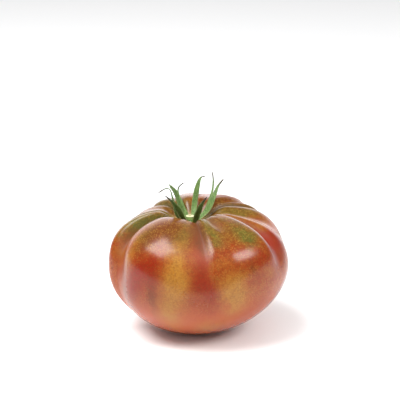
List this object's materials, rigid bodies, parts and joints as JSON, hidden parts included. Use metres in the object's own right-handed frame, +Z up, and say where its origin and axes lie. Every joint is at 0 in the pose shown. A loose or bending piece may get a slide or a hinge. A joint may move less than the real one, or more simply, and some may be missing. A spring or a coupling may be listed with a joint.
{
  "type": "heirloom tomato",
  "caption": "Ribbed, squat heirloom tomato with a dry green calyx standing in its stem hollow and a cut stalk end; it rests on a small flat spot.",
  "frame": {"origin": "middle of the flat spot under the fruit, on the surface it rests on", "axes": "+Z up, from the flat spot to the calyx; -Y is the front as seen in the picture; +X is its right"},
  "size_m": [0.0899, 0.0866, 0.0765],
  "materials": {
    "tomato_skin": "thin waxy glossy skin, brick red with olive shoulders and ochre streaks",
    "sepal_green": "matt, finely hairy green leaf with dry brown tips",
    "stalk_green": "matt green stalk with a pale cut end"
  },
  "bodies": {
    "root": {"fruit": "tomato_skin", "calyx": "sepal_green", "pedicel_stub": "stalk_green"}
  },
  "joints": []
}
